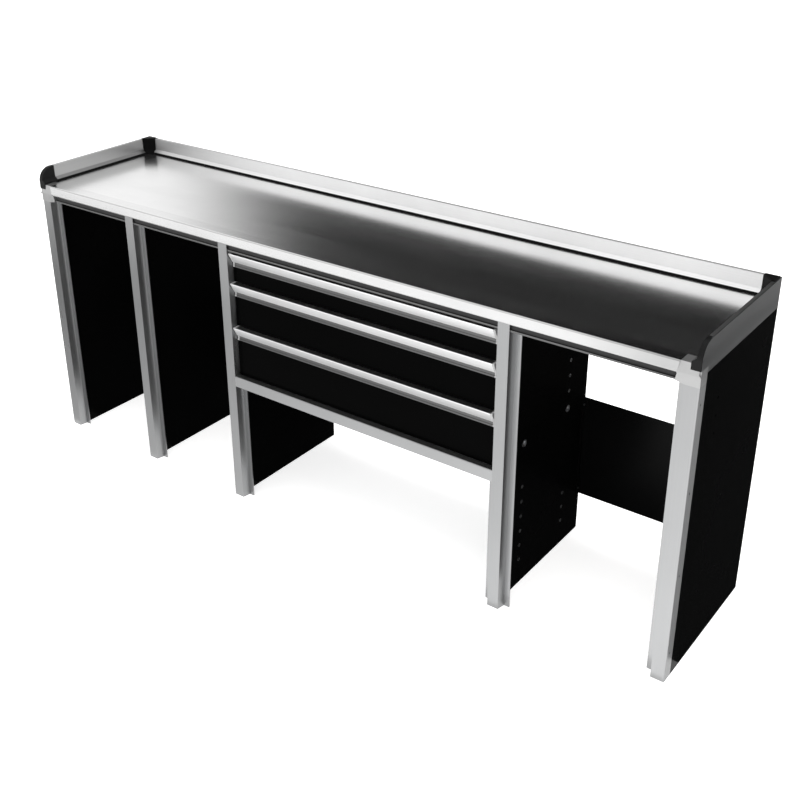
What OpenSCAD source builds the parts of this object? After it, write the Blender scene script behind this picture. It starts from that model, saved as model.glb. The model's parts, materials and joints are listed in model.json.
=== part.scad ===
/* [Overall size] */
// Length over the two end uprights
bench_l = 2364; // [2200:2:2600]
// Depth from the front of the uprights to the back of the panels
bench_d = 500; // [460:5:600]
// Height of the uprights and side panels
frame_h = 895; // [860:5:950]
// Thickness of the worktop with its front edge profile
top_t = 33; // [30:1:40]
// Height of the raised rim above the worktop
rim_h = 53; // [45:1:65]

/* [Bays] */
// Pitch of the first open bay, centre to centre of its uprights
bay_1_pitch = 412; // [380:1:460]
// Pitch of the second open bay
bay_2_pitch = 414; // [380:1:460]
// Pitch of the drawer bay
drawer_pitch = 990; // [940:1:1040]

/* [Uprights] */
// Width of an upright's front face
upright_front_w = 35; // [30:1:38]
// Width of an upright at its flange
upright_w = 46; // [42:1:50]
// Depth of an upright extrusion
upright_d = 38; // [34:1:44]
// Radius of the outer front corner of an end upright
upright_r = 4; // [2:0.5:8]
// How far the upright's flange reaches out on each side
flange_out = 17; // [14:1:20]
// Height of the underside of the front apron
apron_z = 873; // [850:1:880]

/* [Panels] */
// Width of a boxed end panel
end_panel_w = 40; // [34:1:42]
// Thickness of a divider sheet
sheet_t = 2; // [1.5:0.5:3]
// Underside of the rear bracing panels
brace_z = 128; // [100:2:160]
// Height of the rear bracing panels
brace_h = 339; // [300:1:380]
// Height of the lowest shelf hole
hole_z = 86; // [70:1:110]
// Pitch of the shelf holes
hole_pitch = 50; // [40:1:60]

/* [Drawers] */
// Underside of the rail below the drawers
rail_z = 413.5; // [400:0.5:430]
// Height of the rail below the drawers
rail_h = 36.5; // [32:0.5:40]
// Height of the top of the top drawer
drawer_top_z = 867.5; // [860:0.5:870]
// Pitch of the top drawer front
front_1_h = 98; // [90:1:110]
// Pitch of the middle drawer front
front_2_h = 148; // [120:1:160]
// How far a drawer slides out
drawer_travel = 400; // [380:5:405]

/* [Hidden] */
$fn = 48;

// Levels
top_z = frame_h + top_t;            // worktop surface
rim_z = top_z + rim_h;              // top of the rim
over = 5;                           // the front edge stands this far in front of the uprights
front_y = -(bench_d + over) / 2 + over;
half_l = bench_l / 2;

// Centres of the five uprights
end_half = 21;                      // from the middle of an end upright to the bench's end
post_x1 = -half_l + end_half;
post_x2 = post_x1 + bay_1_pitch;
post_x3 = post_x2 + bay_2_pitch;
post_x4 = post_x3 + drawer_pitch;
post_x5 = half_l - end_half;
post_xs = [post_x1, post_x2, post_x3, post_x4, post_x5];

// Uprights
wall = 2.5;                         // tube wall
flange_y = 26.5;                    // front face of the flange
flange_t = 3;
block_z = 868;                      // top of the end uprights, below the corner blocks

// Worktop
sheet_top = 1.5;                    // steel sheet on the board
skin = 2;                           // flanges of the front profile
nose_r = 4;                         // rounding of the front nose
apron_y = 8;                        // front face of the apron web
apron_t = 3;
lip_y = 3;                          // front face of the apron's lower lip
lip_h = 5;
block_low = 62.8;                   // reach of a corner block at the apron's underside
block_top = 52;                     // reach of a corner block at the worktop surface
block_step = 26;                    // step that carries a rim end cap
step_z = top_z - 16;
joint_slope = (block_low - block_top) / (top_z - apron_z);

// Rim
plate_t = 3;
rim_w = 26;                         // rim width at the worktop
seal_w = 6;
seal_h = 6.5;
corner_w = 45;                      // reach of a rear corner cap
cap_y = 52;                         // rear end of a front cap
cap_r = 45;                         // rounding of the rim's front end

// Shelf holes: distance of the two columns behind the front, and their rows
col_front = 137;
col_back = 387;
shelf_r = 4;
cable_r = 10;
cable_z = 477;
vent_r = 4;
socket_lip = 1.5;                   // how far a socket's lip reaches past its hole
socket_lip_t = 1;
socket_wall = 1.2;
socket_deep = 6;
divider_y0 = upright_d;

// Rear bracing and beam
beam_d = 30;
beam_t = 2;
brace_t = 1.5;
brace_side = 18;
brace_rows = [brace_z + 22, brace_z + brace_h - 22];
bolt_r = 2;
bolt_head_r = 4;
bolt_head_h = 2;

// Screws in the end uprights
screw_rows = [86, 330, 574, 818];
screw_y = 18;
screw_r = 2;
screw_head_r = 3.2;
screw_head_h = 1.2;

// Drawers
bay_x = (post_x3 + post_x4) / 2;    // middle of the drawer bay
bay_w = drawer_pitch - upright_w;   // clear width between the uprights at their flanges
front_w = bay_w - 2;                // drawer front with its handle caps
front_y0 = 19;                      // face of a drawer front
front_d = 7;
front_t = 1.5;
gap = 2.5;                          // gap under each drawer front
handle_cap_t = 7;
slide_l = drawer_travel + 40;       // length of a slide member
tray_half = (bay_w - 2 * flange_out) / 2 - 13;
tray_y0 = front_y0 + front_d;
tray_l = slide_l;
tray_t = 1.2;
tops = [drawer_top_z, drawer_top_z - front_1_h, drawer_top_z - front_1_h - front_2_h];
bottoms = [tops[1] + gap, tops[2] + gap, rail_z + rail_h + 3];
tray_lift = 8;
tray_drop = 30;
slide_lift = [32, 36, 38];
slide_y0 = flange_y + flange_t;     // front end of the slides, on the back of the flanges
slide_tab = 12;                     // tab of the fixed member, screwed to the flange
slide_tab_t = 1.5;
slide_h = 22.5;                     // half height of the fixed slide member
post_y0 = 440;
post_d = 30;

// Places a shape drawn from the uprights' front face
module place() {
  translate([0, front_y, 0]) children();
}

// Runs a section drawn in Y and Z along X
module along_x(x0, x1) {
  translate([x0, 0, 0]) rotate([90, 0, 90]) linear_extrude(x1 - x0) children();
}

// Runs a section drawn in X and Z along Y
module along_y(y0, y1) {
  translate([0, y1, 0]) rotate([90, 0, 0]) linear_extrude(y1 - y0) children();
}

// Box from its low corner to its high corner
module box(lo, hi) {
  translate(lo) cube([hi[0] - lo[0], hi[1] - lo[1], hi[2] - lo[2]]);
}

module in_x(y, z, r, x0, x1) {
  translate([x0, y, z]) rotate([0, 90, 0]) cylinder(r = r, h = x1 - x0);
}

// ---- Uprights -------------------------------------------------------------

// Outline of a tube: the front face is narrower than the flange, so the sides lean
module tube_outline(inset) {
  f = upright_front_w / 2 - inset;
  b = upright_w / 2 - inset;
  polygon([[-f, inset], [f, inset], [b, flange_y], [b, upright_d - inset],
    [-b, upright_d - inset], [-b, flange_y]]);
}

// Outline of an end upright, with its outer side upright and its outer front corner rounded
module end_tube_outline(inset) {
  f = upright_front_w / 2 - inset;
  b = upright_w / 2 - inset;
  e = end_half - inset;
  r = upright_r - inset;
  corner = r > 0 ? [for (a = [-90:15:0]) [e - r + r * cos(a), inset + r + r * sin(a)]] : [[e, inset]];
  polygon(concat([[-f, inset]], corner,
    [[e, upright_d - inset], [-b, upright_d - inset], [-b, flange_y]]));
}

module flange(side) {
  reach = flange_out + 1;
  x0 = side > 0 ? upright_w / 2 - 1 : -upright_w / 2 - flange_out;
  translate([x0, flange_y]) square([reach, flange_t]);
}

module upright_section() {
  difference() {
    union() {
      tube_outline(0);
      flange(-1);
      flange(1);
    }
    tube_outline(wall);
  }
}

module end_section() {
  difference() {
    union() {
      end_tube_outline(0);
      flange(-1);
    }
    end_tube_outline(wall);
  }
}

// Inner upright: its top is notched behind the front wall for the apron
module inner_upright(i) {
  color("#c9cacb") place() translate([post_xs[i], 0, 0]) difference() {
    linear_extrude(frame_h) upright_section();
    box([-upright_w, wall, apron_z], [upright_w, upright_d + 1, frame_h + 1]);
  }
}

// End upright, drawn for the right end: flange on the inner side only
module end_upright() {
  color("#c9cacb") place() difference() {
    translate([post_x5, 0, 0]) linear_extrude(block_z) end_section();
    for (z = screw_rows) {
      in_x(screw_y, z, screw_r, half_l - wall - 1, half_l + 1);
      in_x(screw_y, z, screw_head_r, half_l - screw_head_h, half_l + 1);
    }
  }
}

module upright_1() { mirror([1, 0, 0]) end_upright(); }
module upright_2() { inner_upright(1); }
module upright_3() { inner_upright(2); }
module upright_4() { inner_upright(3); }
module upright_5() { end_upright(); }

module end_screws() {
  for (z = screw_rows) {
    in_x(screw_y, z, screw_r, half_l - 12, half_l - screw_head_h);
    difference() {
      in_x(screw_y, z, screw_head_r, half_l - screw_head_h, half_l);
      in_x(screw_y, z, 1.2, half_l - 0.7, half_l + 1);
    }
  }
}

module upright_screws() {
  color("#3a3a3c") place() union() {
    end_screws();
    mirror([1, 0, 0]) end_screws();
  }
}

// Cast block on top of an end upright, drawn for the right end. Its nose leans back above the
// front edge's underside, and its outer corner is drawn in under the rim's end cap.
nose_flat = 3;                      // plain foot of the nose
nose_in = 4;                        // how far the outer corner is drawn in
nose_lean = 3.5;
module corner_block() {
  seam = block_top + joint_slope * top_t;
  color("#d2d3d4") place() translate([half_l, 0, 0]) union() {
    along_y(0, upright_d) polygon([
      [0, block_z], [0, step_z], [-block_step, step_z], [-block_step, top_z],
      [-block_top, top_z], [-block_low, apron_z], [-end_half - upright_front_w / 2, block_z]
    ]);
    intersection() {
      along_y(-over, 1) polygon([
        [0, frame_h], [0, frame_h + nose_flat], [-nose_in, frame_h + nose_flat + nose_in],
        [-nose_in, step_z], [-block_step, step_z], [-block_step, top_z], [-block_top, top_z],
        [-seam, frame_h]
      ]);
      along_x(-block_low - 1, 1) polygon([
        [-over, frame_h], [-over, frame_h + nose_flat], [-over + nose_lean, top_z],
        [1, top_z], [1, frame_h]
      ]);
    }
  }
}

module corner_block_left() { mirror([1, 0, 0]) corner_block(); }
module corner_block_right() { corner_block(); }

// ---- Panels ---------------------------------------------------------------

// Row heights in the front column, in the rear column, and above the cable holes
rows_low = [for (k = [0:5]) hole_z + k * hole_pitch];
rows_low_back = [for (k = [0:2]) hole_z + k * hole_pitch];
rows_high_back = [for (k = [9:11]) hole_z + k * hole_pitch];

module shelf_holes(x0, x1) {
  for (z = rows_low) in_x(col_front, z, shelf_r, x0, x1);
  for (z = rows_low_back) in_x(col_back, z, shelf_r, x0, x1);
  for (z = rows_high_back) in_x(col_back, z, shelf_r, x0, x1);
  for (y = [col_front, col_back]) in_x(y, cable_z, cable_r, x0, x1);
}

module bolt_holes(x0, x1) {
  for (z = brace_rows) in_x(bench_d - brace_side / 2, z, bolt_r, x0, x1);
}

// Boxed end panel, drawn for the right end: outer and inner skin with folded edges
module end_panel(holes) {
  color("#101012") place() difference() {
    box([half_l - end_panel_w, upright_d, 0], [half_l, bench_d, frame_h]);
    box([half_l - end_panel_w + brace_t, upright_d + brace_t, brace_t],
      [half_l - brace_t, bench_d - brace_t, frame_h - brace_t]);
    if (holes) {
      shelf_holes(half_l - end_panel_w - 1, half_l - end_panel_w + brace_t + 1);
      for (k = [0:2]) in_x(col_front - 6, 690 + k * hole_pitch, vent_r, half_l - brace_t - 1, half_l + 1);
    }
    bolt_holes(half_l - end_panel_w - 1, half_l - end_panel_w + brace_t + 1);
  }
}

module end_panel_left() { mirror([1, 0, 0]) end_panel(false); }
module end_panel_right() { end_panel(true); }

// Divider sheet in the middle of an upright, notched for the rear beam
module divider(i, holes) {
  x0 = post_xs[i] - sheet_t / 2;
  color("#101012") place() difference() {
    box([x0, divider_y0, 0], [x0 + sheet_t, bench_d, frame_h]);
    box([x0 - 1, bench_d - beam_d, apron_z], [x0 + sheet_t + 1, bench_d + 1, frame_h + 1]);
    if (holes) shelf_holes(x0 - 1, x0 + sheet_t + 1);
    bolt_holes(x0 - 1, x0 + sheet_t + 1);
  }
}

module divider_1() { divider(1, false); }
module divider_2() { divider(2, false); }
module divider_3() { divider(3, true); }

// Closed socket pressed into a hole, with its lip on the face at x = 0 and its cup behind it
module socket(y, z, r) {
  difference() {
    union() {
      in_x(y, z, r + socket_lip, 0, socket_lip_t);
      in_x(y, z, r, -socket_deep, socket_lip_t);
    }
    in_x(y, z, r - socket_wall, -socket_deep + socket_wall, socket_lip_t + 1);
  }
}

module socket_set() {
  for (z = rows_low) socket(col_front, z, shelf_r);
  for (z = rows_low_back) socket(col_back, z, shelf_r);
  for (z = rows_high_back) socket(col_back, z, shelf_r);
  for (y = [col_front, col_back]) socket(y, cable_z, cable_r);
}

module shelf_sockets() {
  color("#8f9193") place() {
    translate([post_xs[3] + sheet_t / 2, 0, 0]) socket_set();
    translate([half_l - end_panel_w, 0, 0]) mirror([1, 0, 0]) socket_set();
  }
}

// Rear bracing panel with side flanges folded forward
module back_panel(x0, x1) {
  color("#101012") place() difference() {
    union() {
      box([x0, bench_d - brace_t, brace_z], [x1, bench_d, brace_z + brace_h]);
      box([x0, bench_d - brace_side, brace_z], [x0 + brace_t, bench_d, brace_z + brace_h]);
      box([x1 - brace_t, bench_d - brace_side, brace_z], [x1, bench_d, brace_z + brace_h]);
    }
    bolt_holes(x0 - 1, x0 + brace_t + 1);
    bolt_holes(x1 - brace_t - 1, x1 + 1);
  }
}

end_in = half_l - end_panel_w;      // inner face of an end panel
module back_panel_1() { back_panel(-end_in, post_x2 - sheet_t / 2); }
module back_panel_2() { back_panel(post_x2 + sheet_t / 2, post_x3 - sheet_t / 2); }
module back_panel_3() { back_panel(post_x3 + sheet_t / 2, post_x4 - sheet_t / 2); }
module back_panel_4() { back_panel(post_x4 + sheet_t / 2, end_in); }

// One bolt with its nut at each height of each side panel
module bolt(z, x_head, x_tip) {
  way = x_tip > x_head ? 1 : -1;
  lo = min(x_head, x_tip);
  in_x(bench_d - brace_side / 2, z, bolt_r, lo, max(x_head, x_tip));
  head_x = way > 0 ? x_head - bolt_head_h : x_head;
  in_x(bench_d - brace_side / 2, z, bolt_head_r, head_x, head_x + bolt_head_h);
  nut_x = way > 0 ? x_tip - bolt_head_h : x_tip;
  translate([nut_x, bench_d - brace_side / 2, z]) rotate([0, 90, 0])
    cylinder(r = bolt_head_r, h = bolt_head_h, $fn = 6);
}

module back_panel_screws() {
  color("#9a9a9c") place() for (z = brace_rows) {
    for (i = [1:3]) bolt(z, post_xs[i] + sheet_t / 2 + brace_t,
      post_xs[i] - sheet_t / 2 - brace_t - bolt_head_h);
    bolt(z, end_in - brace_t, end_in + brace_t + bolt_head_h);
    bolt(z, -end_in + brace_t, -end_in - brace_t - bolt_head_h);
  }
}

// Box beam along the back, under the worktop
module rear_beam() {
  color("#101012") place() difference() {
    box([-end_in, bench_d - beam_d, apron_z], [end_in, bench_d, frame_h]);
    box([-end_in - 1, bench_d - beam_d + beam_t, apron_z + beam_t],
      [end_in + 1, bench_d - beam_t, frame_h - beam_t]);
  }
}

// Rail under the drawers, flush with the uprights and cut to their leaning sides
rail_r = 3;
module rail_outline(d, h, r) {
  union() {
    translate([r, 0]) square([d - r, h]);
    translate([0, r]) square([d, h - 2 * r]);
    translate([r, r]) circle(r = r);
    translate([r, h - r]) circle(r = r);
  }
}

module drawer_bay_rail() {
  rail_d = flange_y;
  color("#d2d3d4") place() difference() {
    along_x(post_x3, post_x4) translate([0, rail_z]) difference() {
      rail_outline(rail_d, rail_h, rail_r);
      translate([wall, wall]) square([rail_d - 2 * wall, rail_h - 2 * wall]);
    }
    for (x = [post_x3, post_x4]) translate([x, 0, rail_z - 1]) linear_extrude(rail_h + 2)
      tube_outline(0);
  }
}

// Channel on a divider that carries the rear ends of the slides, for the right side
module slide_post() {
  post_x = drawer_pitch / 2 - sheet_t / 2;
  tip_x = bay_w / 2 - flange_out;
  color("#3c3d3f") place() translate([bay_x, 0, 0]) difference() {
    box([tip_x, post_y0, rail_z + rail_h], [post_x, post_y0 + post_d, apron_z]);
    box([tip_x + beam_t, post_y0 - 1, rail_z], [post_x - beam_t, post_y0 + post_d - beam_t, apron_z + 1]);
  }
}

module slide_post_left() {
  translate([2 * bay_x, 0, 0]) mirror([1, 0, 0]) slide_post();
}
module slide_post_right() { slide_post(); }

// ---- Worktop --------------------------------------------------------------

// Board, rebated at the front for the edge profile and clear of the corner blocks
module worktop_board() {
  board_x = half_l - plate_t;
  color("#3a2f26") place() difference() {
    box([-board_x, -over + skin + 1, frame_h], [board_x, bench_d, top_z - sheet_top]);
    box([-board_x - 1, -over, frame_h - 1], [board_x + 1, apron_y + apron_t, frame_h + skin]);
    box([-board_x - 1, -over, top_z - skin], [board_x + 1, upright_d, top_z + 1]);
    for (s = [-1, 1]) translate([s * half_l, 0, 0])
      box([-block_low - 2, -over, frame_h - 1], [block_low + 2, upright_d, top_z + 1]);
  }
}

module worktop_sheet() {
  color("#e3e5e6") place()
    box([-half_l + plate_t, upright_d, top_z - sheet_top], [half_l - plate_t, bench_d, top_z]);
}

// Section of the front edge: nose, top flange, apron web and lip
module edge_section() {
  web_back = apron_y + apron_t;
  difference() {
    union() {
      translate([-over + nose_r, frame_h]) square([upright_d + over - nose_r, top_t]);
      translate([-over, frame_h + nose_r]) square([nose_r, top_t - 2 * nose_r]);
      translate([-over + nose_r, frame_h + nose_r]) circle(r = nose_r);
      translate([-over + nose_r, top_z - nose_r]) circle(r = nose_r);
      translate([apron_y, apron_z]) square([apron_t, frame_h - apron_z + 1]);
      translate([lip_y, apron_z]) square([web_back - lip_y, lip_h]);
      translate([apron_y, apron_z]) square([12, skin]);
    }
    translate([-over + skin + 1, frame_h + skin])
      square([bench_d, top_t - 2 * skin]);
    translate([web_back, frame_h - 1]) square([bench_d, skin + 2]);
  }
}

module front_edge_profile() {
  low = half_l - block_low;
  top = half_l - block_top;
  color("#e6e7e8") place() intersection() {
    along_x(-half_l, half_l) edge_section();
    along_y(-over - 1, upright_d) polygon([[-low, apron_z], [low, apron_z], [top, top_z], [-top, top_z]]);
  }
}

// Black strip on the apron web, in the groove under the nose
module front_groove_strip() {
  strip_x = half_l - block_low - 1;
  color("#141416") place()
    box([-strip_x, apron_y - 1, apron_z + lip_h], [strip_x, apron_y, frame_h]);
}

// ---- Rim ------------------------------------------------------------------

// Section of the rim: u runs inward from the outer face, v runs up from the worktop
rim_top_u = 12;                     // inner edge of the rim's flat top
crease_u = 13.5;                    // where the steep face meets the sloped foot
crease_v = 14;
toe_u = rim_w - 1;                  // inner edge of the foot
toe_v = 4.5;
rim_wall = 2.2;
core_u = 18;                        // inner edge of the hollow inside the rim
core_v = 7;
module rim_section(u0) {
  difference() {
    polygon([
      [u0, 0], [u0, rim_h], [rim_top_u, rim_h], [crease_u, crease_v], [toe_u, toe_v], [toe_u, 0]
    ]);
    polygon([
      [u0 + rim_wall, rim_wall], [u0 + rim_wall, rim_h - rim_wall],
      [rim_top_u - rim_wall, rim_h - rim_wall], [crease_u - rim_wall, crease_v - rim_wall],
      [core_u, core_v], [core_u, rim_wall]
    ]);
  }
}

// Lip seal against the toe of the rim, with a sloped top
module seal_section() {
  polygon([[toe_u, 0], [toe_u, seal_h - 1], [toe_u + 2, seal_h], [toe_u + seal_w, 1], [toe_u + seal_w, 0]]);
}

// Turns a section so that u runs inward from the right end, and runs it along Y
module side_run(y0, y1) {
  place() translate([half_l, 0, top_z]) along_y(y0, y1) mirror([1, 0]) children();
}

// Turns a section so that u runs forward from the back, and runs it along X
module back_run(x0, x1) {
  place() translate([0, bench_d, top_z]) along_x(x0, x1) mirror([1, 0]) children();
}

module rim_right() {
  color("#d6d8d9") side_run(cap_y, bench_d - corner_w) rim_section(plate_t);
}
module rim_left() { mirror([1, 0, 0]) rim_right(); }
module rim_back() {
  color("#d6d8d9") back_run(-half_l + corner_w, half_l - corner_w) rim_section(0);
}

module seal_right() {
  color("#0e0e0f") side_run(cap_y, bench_d - corner_w) seal_section();
}
module seal_left() { mirror([1, 0, 0]) seal_right(); }
module seal_back() {
  color("#0e0e0f") back_run(-half_l + corner_w, half_l - corner_w) seal_section();
}

// Side outline of the rim's front end
module end_outline(y1, low) {
  union() {
    translate([cap_r - over + 1, low]) square([y1 - cap_r + over - 1, rim_z - low]);
    translate([-over + 1, low]) square([cap_r, rim_z - cap_r - low]);
    intersection() {
      translate([cap_r - over + 1, rim_z - cap_r]) circle(r = cap_r, $fn = 120);
      translate([-over + 1, rim_z - cap_r]) square([cap_r, cap_r]);
    }
  }
}

// Outer plate beside the worktop and the rim, drawn for the right end
plate_back = 1.5;                   // the cap's rim covers the plate's front edge by this much
module rim_plate() {
  color("#bfc1c3") place() difference() {
    along_x(half_l - plate_t, half_l) translate([plate_back, 0])
      end_outline(bench_d - plate_back, frame_h);
    box([half_l - plate_t - 1, -over - 1, frame_h - 1], [half_l + 1, upright_d, step_z]);
  }
}
module rim_plate_left() { mirror([1, 0, 0]) rim_plate(); }
module rim_plate_right() { rim_plate(); }

// Black cap on the front end of a side rim, drawn for the right end
cap_proud = 0.8;                    // how far the caps stand in front of the rim's inner face
module front_cap() {
  cap_w = block_step;
  color("#1a1b1c") place() difference() {
    intersection() {
      along_x(half_l - cap_w, half_l) end_outline(cap_y, step_z);
      along_y(-over, cap_y) translate([half_l, 0]) polygon([
        [0, step_z], [0, rim_z], [-rim_top_u - cap_proud, rim_z],
        [-crease_u - cap_proud, top_z + crease_v + cap_proud],
        [-cap_w, top_z + toe_v + cap_proud], [-cap_w, step_z]
      ]);
    }
    box([half_l - cap_w - 1, upright_d, step_z - 1], [half_l, cap_y + 1, top_z]);
    along_x(half_l - plate_t, half_l + 1) translate([plate_back, 0])
      end_outline(cap_y + 1, step_z - 1);
  }
}
module cap_front_left() { mirror([1, 0, 0]) front_cap(); }
module cap_front_right() { front_cap(); }

// Outline of a rear corner cap at one level: cut is where its inner face meets the rims
module corner_outline(cut, inset) {
  w = corner_w - inset;
  polygon([
    [-plate_t - inset, -inset], [-w, -inset], [-w, -cut], [-cut, -w], [-plate_t - inset, -w]
  ]);
}

// One layer of the corner cap between two levels above the worktop
module corner_layer(v0, cut0, inset0, v1, cut1, inset1) {
  sliver = 0.2;
  hull() {
    translate([0, 0, top_z + v0]) linear_extrude(sliver) corner_outline(cut0, inset0);
    translate([0, 0, top_z + v1 - sliver]) linear_extrude(sliver) corner_outline(cut1, inset1);
  }
}

// Black cap over the rear corner of the rim, drawn for the right end
module back_cap() {
  foot = toe_u + 2;
  edge = crease_u + cap_proud;
  dome = 2.5;
  color("#1a1b1c") place() translate([half_l, bench_d, 0]) union() {
    corner_layer(0, foot, 0, toe_v, foot, 0);
    corner_layer(toe_v, foot, 0, crease_v, edge, 0);
    corner_layer(crease_v, edge, 0, rim_h, rim_top_u + cap_proud, 0);
    corner_layer(rim_h, rim_top_u + cap_proud, 0, rim_h + dome, rim_top_u, 3);
  }
}
module cap_back_left() { mirror([1, 0, 0]) back_cap(); }
module cap_back_right() { back_cap(); }

// ---- Drawers --------------------------------------------------------------

// Folded steel front, open at the back
module drawer_front(i) {
  h = front_w / 2;
  color("#111113") place() translate([bay_x, 0, 0]) difference() {
    box([-h, front_y0, bottoms[i]], [h, front_y0 + front_d, tops[i] - gap]);
    box([-h + front_t, front_y0 + front_t, bottoms[i] + front_t],
      [h - front_t, front_y0 + front_d + 1, tops[i] - gap - front_t]);
  }
}

// Folded steel tray, open at the top
module drawer_tray(i) {
  z0 = bottoms[i] + tray_lift;
  z1 = tops[i] - tray_drop;
  color("#6f7174") place() translate([bay_x, 0, 0]) difference() {
    box([-tray_half, tray_y0, z0], [tray_half, tray_y0 + tray_l, z1]);
    box([-tray_half + tray_t, tray_y0 + tray_t, z0 + tray_t],
      [tray_half - tray_t, tray_y0 + tray_l - tray_t, z1 + 1]);
  }
}

// Section of the handle: the face leans back downward to a groove and a lip above the front
lip_v = 42;                         // top of the lip
handle_v = 47;                      // foot of the handle
grip_v = 31.5;                      // foot of the leaning face
grip = [[0, 0], [front_y0 + 5, 0], [front_y0 + 5, -gap], [front_y0, -gap], [front_y0, -handle_v],
  [front_y0 - 2.5, -handle_v], [front_y0 - 2.5, -lip_v], [front_y0 - 1, -lip_v + 0.5],
  [front_y0 - 1, -grip_v - 0.5], [front_y0 - 3.5, -grip_v], [0, -3]];
grip_bore = [[2.3, -gap], [front_y0 - 2.5, -gap], [front_y0 - 2.5, -28.6]];

module drawer_handle(i) {
  h = front_w / 2 - handle_cap_t;
  color("#dcdee0") place() along_x(bay_x - h, bay_x + h) translate([0, tops[i]]) difference() {
    polygon(grip);
    polygon(grip_bore);
  }
}

module drawer_handle_caps(i) {
  h = front_w / 2;
  color("#b4b6b8") place() union() {
    along_x(bay_x - h, bay_x - h + handle_cap_t) translate([0, tops[i]]) polygon(grip);
    along_x(bay_x + h - handle_cap_t, bay_x + h) translate([0, tops[i]]) polygon(grip);
  }
}

// Telescopic slide: nested channels, all drawn on the right side of the drawer
module channel(x_web, way, depth, half_h, t) {
  x0 = min(x_web, x_web + way * depth);
  x1 = max(x_web, x_web + way * depth);
  difference() {
    box([x0, slide_y0, -half_h], [x1, slide_y0 + slide_l, half_h]);
    box([way > 0 ? x0 + t : x0 - 1, slide_y0 - 1, -half_h + t],
      [way > 0 ? x1 + 1 : x1 - t, slide_y0 + slide_l + 1, half_h - t]);
  }
}

module slide_pair(i) {
  z = bottoms[i] + tray_lift + slide_lift[i];
  place() translate([bay_x, 0, z]) union() {
    children();
    mirror([1, 0, 0]) children();
  }
}

slide_x = tray_half + 13;
module slide_outer(i) {
  color("#b9bcbe") slide_pair(i) union() {
    channel(slide_x, -1, 11, slide_h, 1.5);
    box([slide_x - 1, slide_y0, -slide_h], [slide_x + slide_tab, slide_y0 + slide_tab_t, slide_h]);
  }
}
module slide_middle(i) {
  color("#a9acae") slide_pair(i) channel(slide_x - 2.2, -1, 8.3, slide_h - 2.3, 1.5);
}
module slide_inner(i) {
  color("#c3c6c8") slide_pair(i) channel(tray_half, 1, 8.6, slide_h - 4.6, 1.5);
}

upright_1();
upright_2();
upright_3();
upright_4();
upright_5();
corner_block_left();
corner_block_right();
end_panel_left();
end_panel_right();
divider_1();
divider_2();
divider_3();
shelf_sockets();
back_panel_1();
back_panel_2();
back_panel_3();
back_panel_4();
rear_beam();
drawer_bay_rail();
slide_post_left();
slide_post_right();
worktop_board();
worktop_sheet();
front_edge_profile();
front_groove_strip();
rim_back();
rim_left();
rim_right();
seal_back();
seal_left();
seal_right();
rim_plate_left();
rim_plate_right();
cap_front_left();
cap_front_right();
cap_back_left();
cap_back_right();
upright_screws();
back_panel_screws();
drawer_front(0);  // drawer_1_front
drawer_tray(0);  // drawer_1_tray
drawer_handle(0);  // drawer_1_handle
drawer_handle_caps(0);  // drawer_1_handle_caps
drawer_front(1);  // drawer_2_front
drawer_tray(1);  // drawer_2_tray
drawer_handle(1);  // drawer_2_handle
drawer_handle_caps(1);  // drawer_2_handle_caps
drawer_front(2);  // drawer_3_front
drawer_tray(2);  // drawer_3_tray
drawer_handle(2);  // drawer_3_handle
drawer_handle_caps(2);  // drawer_3_handle_caps
slide_outer(0);  // drawer_1_slide_outer
slide_middle(0);  // drawer_1_slide_middle
slide_inner(0);  // drawer_1_slide_inner
slide_outer(1);  // drawer_2_slide_outer
slide_middle(1);  // drawer_2_slide_middle
slide_inner(1);  // drawer_2_slide_inner
slide_outer(2);  // drawer_3_slide_outer
slide_middle(2);  // drawer_3_slide_middle
slide_inner(2);  // drawer_3_slide_inner
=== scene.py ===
import json
import math
import bpy
from mathutils import Matrix, Vector


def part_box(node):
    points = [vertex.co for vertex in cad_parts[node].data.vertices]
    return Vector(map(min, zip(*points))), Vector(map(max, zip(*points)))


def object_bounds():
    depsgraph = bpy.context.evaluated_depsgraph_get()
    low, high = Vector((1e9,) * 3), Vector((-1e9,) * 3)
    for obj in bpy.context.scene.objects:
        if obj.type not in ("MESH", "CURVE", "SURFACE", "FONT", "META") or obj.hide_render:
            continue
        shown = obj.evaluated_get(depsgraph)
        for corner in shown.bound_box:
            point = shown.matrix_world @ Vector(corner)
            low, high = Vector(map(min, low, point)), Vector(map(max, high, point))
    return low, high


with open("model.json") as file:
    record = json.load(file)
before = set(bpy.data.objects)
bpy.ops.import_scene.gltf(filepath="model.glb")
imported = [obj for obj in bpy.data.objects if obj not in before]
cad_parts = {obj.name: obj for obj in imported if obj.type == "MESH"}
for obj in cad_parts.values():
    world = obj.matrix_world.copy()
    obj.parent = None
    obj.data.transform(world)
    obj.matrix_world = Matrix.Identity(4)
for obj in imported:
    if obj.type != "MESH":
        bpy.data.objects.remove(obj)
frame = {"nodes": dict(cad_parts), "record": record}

CAD_BOX = [list(corner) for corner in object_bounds()]
NODES = frame["nodes"]
LOW, HIGH = Vector(CAD_BOX[0]), Vector(CAD_BOX[1])

# Places where painted shade on some finishes begins, in metres
EDGE_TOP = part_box("front_edge_profile")[1].z
NOSE_TOP = EDGE_TOP - 0.0008                    # just below the flat top of the front edge
NOSE_FOOT = EDGE_TOP - 0.0345                   # just below the nose, in the groove above the apron
RIM_CREASE = EDGE_TOP + 0.0135                  # just below the rim's steep face
GRIP_DROP = 0.0317                              # from a handle's top to just below its leaning face
SIDE_SKIN = (HIGH.x - 0.0005, HIGH.x - 0.0002)  # the last of the right upright's rounded corner


# ---- Node helpers ----------------------------------------------------------

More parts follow.
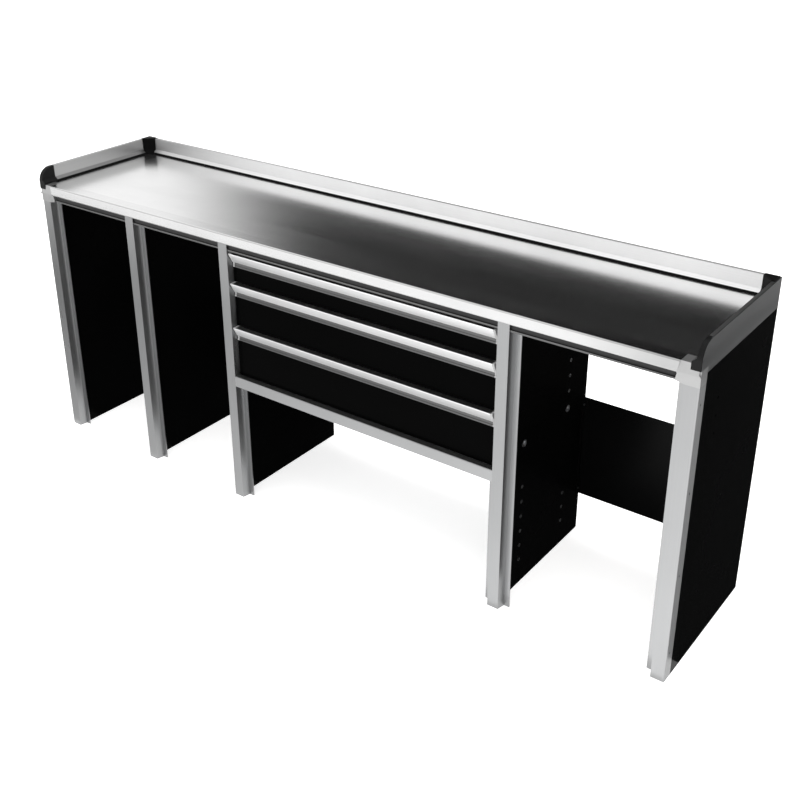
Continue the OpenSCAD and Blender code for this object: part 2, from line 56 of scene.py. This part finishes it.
class Tree:
    """A small builder for one material's node tree."""

    def __init__(self, name):
        self.mat = bpy.data.materials.new(name)
        self.mat.use_nodes = True
        self.nodes = self.mat.node_tree.nodes
        self.links = self.mat.node_tree.links
        self.shader = self.nodes["Principled BSDF"]
        self.coords = self.nodes.new("ShaderNodeTexCoord").outputs["Object"]

    def link(self, out, socket):
        self.links.new(out, socket)

    def set(self, **values):
        for key, value in values.items():
            self.shader.inputs[key.replace("_", " ")].default_value = value

    def stretched(self, scale):
        """Object coordinates in metres, scaled by axis."""
        node = self.nodes.new("ShaderNodeMapping")
        node.inputs["Scale"].default_value = scale
        self.link(self.coords, node.inputs["Vector"])
        return node.outputs["Vector"]

    def noise(self, scale, size=1.0, detail=3.0, rough=0.5):
        """Noise between 0 and 1, with scale features per metre along each axis."""
        node = self.nodes.new("ShaderNodeTexNoise")
        node.inputs["Scale"].default_value = size
        node.inputs["Detail"].default_value = detail
        node.inputs["Roughness"].default_value = rough
        self.link(self.stretched(scale), node.inputs["Vector"])
        return node.outputs["Fac"]

    def ramp(self, fac, low, high, start=0.3, end=0.7):
        """A colour or grey that runs from low to high as fac goes from start to end."""
        node = self.nodes.new("ShaderNodeValToRGB")
        node.color_ramp.elements[0].position = start
        node.color_ramp.elements[1].position = end
        node.color_ramp.elements[0].color = low
        node.color_ramp.elements[1].color = high
        self.link(fac, node.inputs["Fac"])
        return node.outputs["Color"]

    def level(self, fac, low, high, start=0.3, end=0.7):
        """A number that runs from low to high as fac goes from start to end."""
        node = self.nodes.new("ShaderNodeMapRange")
        node.inputs["From Min"].default_value = start
        node.inputs["From Max"].default_value = end
        node.inputs["To Min"].default_value = low
        node.inputs["To Max"].default_value = high
        self.link(fac, node.inputs["Value"])
        return node.outputs["Result"]

    def mix(self, fac, a, b, blend="MIX"):
        """Colour b over colour a, as much as fac, a number or another node's output, says."""
        node = self.nodes.new("ShaderNodeMix")
        node.data_type = "RGBA"
        node.blend_type = blend
        if isinstance(fac, float):
            node.inputs[0].default_value = fac
        else:
            self.link(fac, node.inputs[0])
        self.link(a, node.inputs[6])
        self.link(b, node.inputs[7])
        return node.outputs[2]

    def place_step(self, axis, start, end):
        """Runs from 0 to 1 between two places on an axis, in metres."""
        split = self.nodes.new("ShaderNodeSeparateXYZ")
        self.link(self.coords, split.inputs["Vector"])
        return self.level(split.outputs[axis], 0.0, 1.0, start, end)

    def shade(self, body, step, low, high):
        """Multiplies a colour by a grey that runs from low to high with step."""
        return self.mix(1.0, body, self.ramp(step, grey(low), grey(high), 0.0, 1.0), "MULTIPLY")

    def bump(self, *layers):
        """Each layer is (height, distance in metres, strength), one on top of the other."""
        last = None
        for height, distance, strength in layers:
            node = self.nodes.new("ShaderNodeBump")
            node.inputs["Distance"].default_value = distance
            node.inputs["Strength"].default_value = strength
            self.link(height, node.inputs["Height"])
            if last is not None:
                self.link(last, node.inputs["Normal"])
            last = node.outputs["Normal"]
        self.link(last, self.shader.inputs["Normal"])


def grey(v, tint=0.0):
    return (v * (1 - tint), v, v * (1 + tint), 1.0)


# ---- Materials -------------------------------------------------------------

def drawn_metal(name, base, rough, along, lines=1400.0, depth=0.00002, spread=0.05, tint=0.008,
                painted_shade_steps=(), painted_shade_x=None, far_metal=1.0):
    """Extruded or rolled metal: fine lines along one axis, a cloudy finish and faint smears.
    Each painted shade step is (height, shade): below that height the metal's colour is darker by that
    factor, as painted shade.
    The painted shade along X is (start, end, shade): the colour falls to shade along X between the two
    places as painted shade, and past them the finish is milky instead of mirror-like if far_metal is
    low."""
    soft = 0.001
    t = Tree(name)
    line_scale = [lines, lines, lines]
    line_scale["XYZ".index(along)] = 1.5
    fine = t.noise(line_scale, detail=2.0)
    cloud = t.noise((2.5, 2.5, 2.5), detail=5.0, rough=0.6)
    smear_scale = [9.0, 9.0, 9.0]
    smear_scale["XYZ".index(along)] = 1.2
    smear = t.noise(smear_scale, detail=6.0, rough=0.65)
    body = t.ramp(cloud, grey(base * 0.95, tint), grey(base * 1.03, tint))
    streak = t.ramp(fine, grey(0.96), grey(1.0))
    body = t.mix(1.0, body, streak, "MULTIPLY")
    t.set(Metallic=1.0)
    # painted shade: below each given height the colour is darkened
    for height, shade in painted_shade_steps:
        body = t.shade(body, t.place_step("Z", height - soft, height + soft), shade, 1.0)
    # painted shade: the colour falls along X between two places
    if painted_shade_x:
        start, end, shade = painted_shade_x
        along_x = t.place_step("X", start, end)
        body = t.shade(body, along_x, 1.0, shade)
        if far_metal < 1.0:
            t.link(t.level(along_x, 1.0, far_metal, 0.0, 1.0), t.shader.inputs["Metallic"])
    t.link(body, t.shader.inputs["Base Color"])
    t.link(t.level(smear, rough - spread, rough + spread), t.shader.inputs["Roughness"])
    t.bump((fine, depth, 0.35), (cloud, 0.0006, 0.05))
    return t.mat


def cast_metal(name, base, rough):
    """Blasted casting: a fine even grain and a matt finish."""
    t = Tree(name)
    grain = t.noise((1800, 1800, 1800), detail=2.0)
    cloud = t.noise((30, 30, 30), detail=4.0)
    t.link(t.ramp(cloud, grey(base * 0.93), grey(base)), t.shader.inputs["Base Color"])
    t.link(t.level(cloud, rough - 0.04, rough + 0.05), t.shader.inputs["Roughness"])
    t.set(Metallic=0.9)
    t.bump((grain, 0.00005, 0.4))
    return t.mat


def powder_coat(name, base, rough, spec=0.35, tint=0.03, peel=0.00006):
    """Powder-coated sheet: orange peel, a slow change of gloss and a trace of dust."""
    t = Tree(name)
    skin = t.noise((320, 320, 320), detail=1.0)
    slow = t.noise((1.6, 1.6, 1.6), detail=4.0, rough=0.6)
    dust = t.noise((60, 60, 60), detail=8.0, rough=0.75)
    body = t.ramp(slow, grey(base * 0.75, tint), grey(base * 1.25, tint))
    specks = t.ramp(dust, grey(0.0), grey(base * 0.8), 0.62, 0.8)
    t.link(t.mix(1.0, body, specks, "ADD"), t.shader.inputs["Base Color"])
    t.link(t.level(slow, rough - 0.05, rough + 0.07), t.shader.inputs["Roughness"])
    t.set(Specular_IOR_Level=spec)
    t.bump((skin, peel, 0.30))
    return t.mat


def moulded(name, base, rough, grain=900.0, depth=0.00006, spec=0.4):
    """Moulded plastic or rubber with a fine texture."""
    t = Tree(name)
    fine = t.noise((grain, grain, grain), detail=2.0)
    slow = t.noise((12, 12, 12), detail=4.0)
    t.link(t.ramp(slow, grey(base * 0.8), grey(base * 1.15)), t.shader.inputs["Base Color"])
    t.link(t.level(slow, rough - 0.06, rough + 0.06), t.shader.inputs["Roughness"])
    t.set(Specular_IOR_Level=spec)
    t.bump((fine, depth, 0.35))
    return t.mat


def zinc(name, base, rough):
    """Zinc-plated steel: crystalline patches in tone and gloss."""
    t = Tree(name)
    cells = t.nodes.new("ShaderNodeTexVoronoi")
    cells.inputs["Scale"].default_value = 90.0
    t.link(t.coords, cells.inputs["Vector"])
    slow = t.noise((14, 14, 14), detail=5.0)
    t.link(t.ramp(cells.outputs["Distance"], grey(base * 0.88, 0.01), grey(base, 0.02), 0.1, 0.8),
           t.shader.inputs["Base Color"])
    t.link(t.level(slow, rough - 0.05, rough + 0.08), t.shader.inputs["Roughness"])
    t.set(Metallic=1.0)
    t.bump((slow, 0.0001, 0.1))
    return t.mat


def plywood(name):
    """Plywood: thin plies on the edges and a long grain on the faces."""
    t = Tree(name)
    plies = t.nodes.new("ShaderNodeTexWave")
    plies.wave_type = "BANDS"
    plies.bands_direction = "Z"
    plies.inputs["Scale"].default_value = 110.0
    plies.inputs["Distortion"].default_value = 0.6
    t.link(t.coords, plies.inputs["Vector"])
    grain = t.noise((6, 260, 40), detail=5.0)
    light = t.ramp(grain, (0.34, 0.22, 0.12, 1), (0.46, 0.32, 0.19, 1))
    dark = t.ramp(grain, (0.20, 0.12, 0.06, 1), (0.28, 0.17, 0.09, 1))
    t.link(t.mix(plies.outputs["Fac"], light, dark), t.shader.inputs["Base Color"])
    t.link(t.level(grain, 0.5, 0.65), t.shader.inputs["Roughness"])
    t.bump((grain, 0.0002, 0.3))
    return t.mat


# One finish for each material slot but the handles', and a few for single nodes
FINISH = {
    "upright": drawn_metal("anodised_upright", 0.31, 0.31, "Z"),
    "bay_rail": drawn_metal("anodised_rail", 0.36, 0.40, "X"),
    "corner_block": cast_metal("cast_block", 0.38, 0.38),
    "side_panel": powder_coat("black_side_panel", 0.0016, 0.24, 0.018),
    "back_panel": powder_coat("black_back_panel", 0.0022, 0.30, 0.06),
    "rear_beam": powder_coat("black_beam", 0.0030, 0.30, 0.12),
    "slide_post": powder_coat("black_post", 0.006, 0.35, 0.3),
    "socket": zinc("zinc_socket", 0.42, 0.34),
    "board": plywood("plywood_board"),
    "top_sheet": drawn_metal("stainless_top", 0.93, 0.20, "X", 900.0, 0.000004, 0.02, 0.0),
    # painted shade: the front face is darker than the flat top, the groove and apron below the nose
    # darker still, and the edge darker towards its right end
    "front_edge": drawn_metal("bright_edge", 0.92, 0.20, "X", 1200.0, 0.00001, 0.02, 0.0,
                              painted_shade_steps=((NOSE_TOP, 0.60), (NOSE_FOOT, 0.22)),
                              painted_shade_x=(HIGH.x - 0.32, HIGH.x - 0.09, 0.70)),
    "groove_strip": moulded("groove_black", 0.030, 0.50, spec=0.2),
    # painted shade: the back rim is darker towards its left end
    "rim": drawn_metal("anodised_rim", 0.96, 0.46, "X", 1200.0, 0.00001, 0.04, 0.0,
                       painted_shade_x=(LOW.x + 0.60, LOW.x + 0.05, 0.72)),
    # painted shade: the side rims are a darker copy of the rim metal, darker again below the foot of the
    # steep face
    "rim_side": drawn_metal("anodised_rim_side", 0.47, 0.32, "Y", 1200.0, 0.00001, 0.04, 0.0,
                            painted_shade_steps=((RIM_CREASE, 0.64),)),
    "seal": moulded("seal_rubber", 0.0025, 0.60, 500.0, 0.0001, 0.06),
    "rim_plate": drawn_metal("satin_plate", 0.27, 0.34, "Y"),
    "cap": moulded("cap_black", 0.004, 0.42, 1100.0, 0.00005, 0.15),
    # painted shade: the back corner caps are a darker copy of the black cap plastic
    "cap_corner": moulded("cap_corner_black_painted_shade", 0.0012, 0.42, 1100.0, 0.00005, 0.06),
    # painted shade: the right end upright's outer side is darker than its front
    "upright_end": drawn_metal("anodised_upright_end", 0.31, 0.31, "Z",
                               painted_shade_x=(*SIDE_SKIN, 0.62), far_metal=0.15),
    "rivet": zinc("dark_rivet", 0.10, 0.40),
    "bolt": zinc("zinc_bolt", 0.16, 0.32),
    "drawer_front": powder_coat("black_front", 0.0006, 0.24, 0.014),
    "tray": powder_coat("grey_tray", 0.12, 0.42, 0.4, 0.01),
    "handle_cap": moulded("grey_cap", 0.42, 0.45, 1000.0, 0.00005, 0.5),
    "slide": zinc("zinc_slide", 0.60, 0.30),
}

# Nodes whose lines run another way, or whose tone differs from the rest of their slot as painted shade
OWN_FINISH = {"rim_left": "rim_side", "rim_right": "rim_side", "cap_back_left": "cap_corner",
              "cap_back_right": "cap_corner", "upright_5": "upright_end"}
for part in frame["record"]["subparts"]:
    node = part["node"]
    slot = part["material_slot"]
    if slot == "handle":
        # painted shade: each handle's groove and lip below its leaning face are darkened
        grip_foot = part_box(node)[1].z - GRIP_DROP
        finish = drawn_metal("anodised_" + node, 0.80, 0.30, "X", 1200.0, 0.00001, 0.04, 0.0,
                             painted_shade_steps=((grip_foot, 0.15),))
    else:
        finish = FINISH[OWN_FINISH.get(node, slot)]
    mesh = NODES[node].data
    mesh.materials.clear()
    mesh.materials.append(finish)


# ---- Softened edges --------------------------------------------------------

# Width of the softened edges in metres. The first word found in a node's name decides, and slides
# and screws stay sharp.
BEVELS = {
    "rim_left": 0.0025, "rim_right": 0.0025, "rim_back": 0.0025,
    "corner_block": 0.0012, "cap": 0.0016, "drawer": 0.0006, "upright": 0.0012,
    "end_panel": 0.0010, "rim_plate": 0.0006, "back_panel": 0.0005,
}
for name, obj in NODES.items():
    for word, width in BEVELS.items():
        if word in name and "slide" not in name and "screws" not in name:
            bevel = obj.modifiers.new("soft_edge", "BEVEL")
            bevel.width = width
            bevel.segments = 2
            bevel.limit_method = "ANGLE"
            bevel.angle_limit = math.radians(35)
            bevel.harden_normals = False
            break


# ---- Floor and light -------------------------------------------------------

FLOOR_Z = -0.0008            # just under the feet
FLOOR_HALF = 45.0
CARD_Z = 0.0004              # the cards lie just above the floor
CARD_FRONT = -1.75           # front edge of the two cards before the bench
FRONT_CARD_BACK = LOW.y - 0.01
CARD_SPLIT = 0.4             # where the left one ends and the right one begins


def stage_plane(name, low, high, z, mat):
    """A flat rectangle of the studio, from its low corner to its high one."""
    mesh = bpy.data.meshes.new(name)
    mesh.from_pydata([(low[0], low[1], z), (high[0], low[1], z), (high[0], high[1], z),
                      (low[0], high[1], z)], [], [(0, 1, 2, 3)])
    obj = bpy.data.objects.new(name, mesh)
    bpy.context.scene.collection.objects.link(obj)
    mesh.materials.append(mat)
    return obj


def floor_material():
    """A pale floor, partly lit from within like a light table, so that shadows stay faint."""
    t = Tree("studio_floor")
    cloud = t.noise((0.6, 0.6, 0.6), detail=3.0)
    t.link(t.ramp(cloud, grey(0.80), grey(0.82)), t.shader.inputs["Base Color"])
    t.set(Roughness=0.9, Specular_IOR_Level=0.05, Emission_Color=(1, 1, 1, 1), Emission_Strength=0.72)
    return t.mat


def card_material(name, left, right, start, end):
    """An unlit tone that runs from left to right between two places along X."""
    mat = bpy.data.materials.new(name)
    mat.use_nodes = True
    nodes, links = mat.node_tree.nodes, mat.node_tree.links
    nodes.clear()
    coords = nodes.new("ShaderNodeTexCoord")
    split = nodes.new("ShaderNodeSeparateXYZ")
    span = nodes.new("ShaderNodeMapRange")
    glow = nodes.new("ShaderNodeEmission")
    out = nodes.new("ShaderNodeOutputMaterial")
    span.inputs["From Min"].default_value = start
    span.inputs["From Max"].default_value = end
    span.inputs["To Min"].default_value = left
    span.inputs["To Max"].default_value = right
    links.new(coords.outputs["Object"], split.inputs["Vector"])
    links.new(split.outputs["X"], span.inputs["Value"])
    links.new(span.outputs["Result"], glow.inputs["Strength"])
    links.new(glow.outputs["Emission"], out.inputs["Surface"])
    return mat


def reflector(name, low, high, tone):
    """A card on the floor that only reflections see. tone is card_material's left, right, start, end."""
    obj = stage_plane(name, low, high, CARD_Z, card_material(name, *tone))
    obj.visible_camera = False
    obj.visible_diffuse = False
    obj.visible_shadow = False
    obj.visible_transmission = False


stage_plane("studio_floor", (-FLOOR_HALF, -FLOOR_HALF), (FLOOR_HALF, FLOOR_HALF), FLOOR_Z,
            floor_material())
reflector("dark_card_right", (LOW.x - 0.1, LOW.y + 0.10), (HIGH.x + 1.6, HIGH.y + 3.2),
          (0.035, 0.035, 0.0, 1.0))
reflector("dark_card_left", (-3.9, CARD_FRONT), (CARD_SPLIT, FRONT_CARD_BACK),
          (0.05, 1.58, -3.2, 0.2))
reflector("bright_card_right", (CARD_SPLIT, CARD_FRONT), (4.0, FRONT_CARD_BACK),
          (1.58, 2.10, 0.2, 0.9))


def sky():
    """Bright all round, with a dark patch high behind the bench and a little to its left."""
    # The patch fades in and out between these directions: Z is the height on the unit sphere and
    # X / Y the bearing, 0 straight behind the bench.
    foot, head = (0.08, 0.20), (0.88, 0.62)
    left, right = (-1.14, -0.86), (0.55, 0.10)
    behind = (0.05, 0.30)
    white, black = 1.0, 0.006

    world = bpy.data.worlds.new("studio")
    bpy.context.scene.world = world
    world.use_nodes = True
    nodes, links = world.node_tree.nodes, world.node_tree.links
    coords = nodes.new("ShaderNodeTexCoord")
    split = nodes.new("ShaderNodeSeparateXYZ")
    links.new(coords.outputs["Generated"], split.inputs["Vector"])

    def soft(out, start, end):
        """A smooth step of an output from 0 at start to 1 at end."""
        node = nodes.new("ShaderNodeMapRange")
        node.interpolation_type = "SMOOTHSTEP"
        node.inputs["From Min"].default_value = start
        node.inputs["From Max"].default_value = end
        links.new(out, node.inputs["Value"])
        return node.outputs["Result"]

    def math_node(kind, a, b):
        node = nodes.new("ShaderNodeMath")
        node.operation = kind
        links.new(a, node.inputs[0])
        if isinstance(b, float):
            node.inputs[1].default_value = b
        else:
            links.new(b, node.inputs[1])
        return node.outputs[0]

    def times(a, b):
        return math_node("MULTIPLY", a, b)

    aside = math_node("DIVIDE", split.outputs["X"], math_node("MAXIMUM", split.outputs["Y"], 0.02))
    height = times(soft(split.outputs["Z"], *foot), soft(split.outputs["Z"], *head))
    width = times(soft(aside, *left), soft(aside, *right))
    dark = times(times(height, width), soft(split.outputs["Y"], *behind))
    mix = nodes.new("ShaderNodeMix")
    mix.data_type = "RGBA"
    links.new(dark, mix.inputs[0])
    mix.inputs[6].default_value = grey(white)
    mix.inputs[7].default_value = grey(black)
    links.new(mix.outputs[2], nodes["Background"].inputs["Color"])
    nodes["Background"].inputs["Strength"].default_value = 1.0


sky()


def overhead_softbox():
    """A broad soft light above the bench, pointed at the floor and unseen in reflections."""
    place, power = Vector((0, 0.4, 5.2)), 260
    data = bpy.data.lights.new("overhead", "AREA")
    data.shape = "RECTANGLE"
    data.size, data.size_y = 9, 7
    data.energy = power
    obj = bpy.data.objects.new("overhead", data)
    obj.location = place
    obj.rotation_euler = (-place).to_track_quat("-Z", "Y").to_euler()
    obj.visible_glossy = False
    bpy.context.scene.collection.objects.link(obj)


overhead_softbox()


# ---- Camera ----------------------------------------------------------------

def camera():
    """The photograph's viewing angle."""
    place = Matrix.Translation((2.0088, -2.5515, 2.1000))
    turn_x, turn_y, turn_z = (math.radians(a) for a in (64.920, 0.4185, 36.817))
    data = bpy.data.cameras.new("camera")
    data.sensor_width = 36.0
    data.lens = 51.64
    data.shift_x = 0.0207
    data.shift_y = -0.0786
    data.clip_end = 200.0
    obj = bpy.data.objects.new("camera", data)
    spin = (Matrix.Rotation(turn_z, 4, "Z") @ Matrix.Rotation(turn_y, 4, "Y")
            @ Matrix.Rotation(turn_x, 4, "X"))
    obj.matrix_world = place @ spin
    bpy.context.scene.collection.objects.link(obj)
    bpy.context.scene.camera = obj


camera()
bpy.context.scene.view_settings.view_transform = "Standard"
